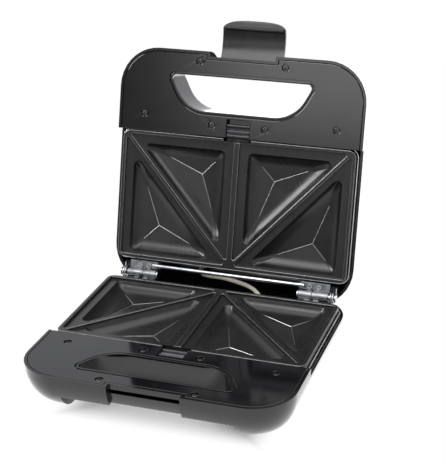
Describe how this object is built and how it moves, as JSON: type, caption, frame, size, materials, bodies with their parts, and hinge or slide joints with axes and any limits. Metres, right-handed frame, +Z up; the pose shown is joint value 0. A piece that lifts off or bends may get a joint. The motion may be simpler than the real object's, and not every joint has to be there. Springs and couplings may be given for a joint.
{
  "type": "sandwich toaster",
  "caption": "Black electric sandwich toaster standing open, with hinged lid, loop handle openings, triangular pocket plates, swing latch and sprung plate catches.",
  "frame": {"origin": "middle of the whole stand, in plan, on the table under the feet, with lid and latch open", "axes": "+X to the right across the front, +Y from the front handle to the rear hinge, +Z up"},
  "size_m": [0.228, 0.299, 0.2584],
  "materials": {
    "housing": "semi-gloss black moulding",
    "cover": "satin black moulding",
    "latch": "gloss black moulding",
    "catch": "matte grey moulding",
    "coated_plate": "satin dark non-stick coating on cast metal",
    "pan_steel": "thin bright pressed steel",
    "hinge_steel": "bright plated steel",
    "spring_steel": "bright spring wire",
    "leaf_screws": "plated cross-slot screw",
    "cover_screws": "dark plated cross-slot screw",
    "element": "oxidised tube",
    "thermostat": "plain cap",
    "ceramic": "unglazed white",
    "sleeve": "beige woven glass-fibre sleeve",
    "rubber": "matte black",
    "red_lens": "clear red",
    "green_lens": "clear green"
  },
  "bodies": {
    "base": {"base_shell": "housing", "base_cover": "cover", "lower_plate": "coated_plate", "lower_pan": "pan_steel", "lower_element_straps": "pan_steel", "base_leaf_left": "hinge_steel", "base_leaf_right": "hinge_steel", "hinge_pins": "hinge_steel", "hinge_spring_left": "spring_steel", "hinge_spring_right": "spring_steel", "base_leaf_screws": "leaf_screws", "base_cover_screws": "cover_screws", "lower_element": "element", "thermostat": "thermostat", "terminal_block": "ceramic", "link_lead": "sleeve", "feet": "rubber", "cord_gland": "rubber"},
    "lid": {"lid_shell": "housing", "lid_cover": "cover", "lid_cover_screws": "cover_screws", "upper_plate": "coated_plate", "upper_pan": "pan_steel", "upper_element": "element", "upper_element_straps": "pan_steel", "lid_leaf_left": "hinge_steel", "lid_leaf_right": "hinge_steel", "lid_leaf_screws": "leaf_screws", "hinge_rod": "hinge_steel", "lid_terminal_block": "ceramic", "latch_pin": "hinge_steel", "red_lamp": "red_lens", "green_lamp": "green_lens"},
    "latch": {"latch": "latch"},
    "lower_catch": {"lower_catch": "catch"},
    "upper_catch": {"upper_catch": "catch"}
  },
  "joints": [
    {"name": "lid_hinge", "type": "hinge", "parent": "base", "child": "lid", "pos_m": [0, 0.05755, 0.038], "axis": [1, 0, 0], "range_deg": [0, 104], "deforming": ["hinge_spring_left", "hinge_spring_right", "link_lead"]},
    {"name": "latch_hinge", "type": "hinge", "parent": "lid", "child": "latch", "pos_m": [0, 0.13189, 0.22043], "axis": [1, 0, 0], "range_deg": [0, 81]},
    {"name": "lower_catch_slide", "type": "slide", "parent": "base", "child": "lower_catch", "axis": [0, -1, 0], "range_m": [0, 0.004], "stiffness_N_per_m": 200, "springref_m": -0.002},
    {"name": "upper_catch_slide", "type": "slide", "parent": "lid", "child": "upper_catch", "axis": [0, 0.2419, 0.9703], "range_m": [0, 0.004], "stiffness_N_per_m": 200, "springref_m": -0.002}
  ]
}
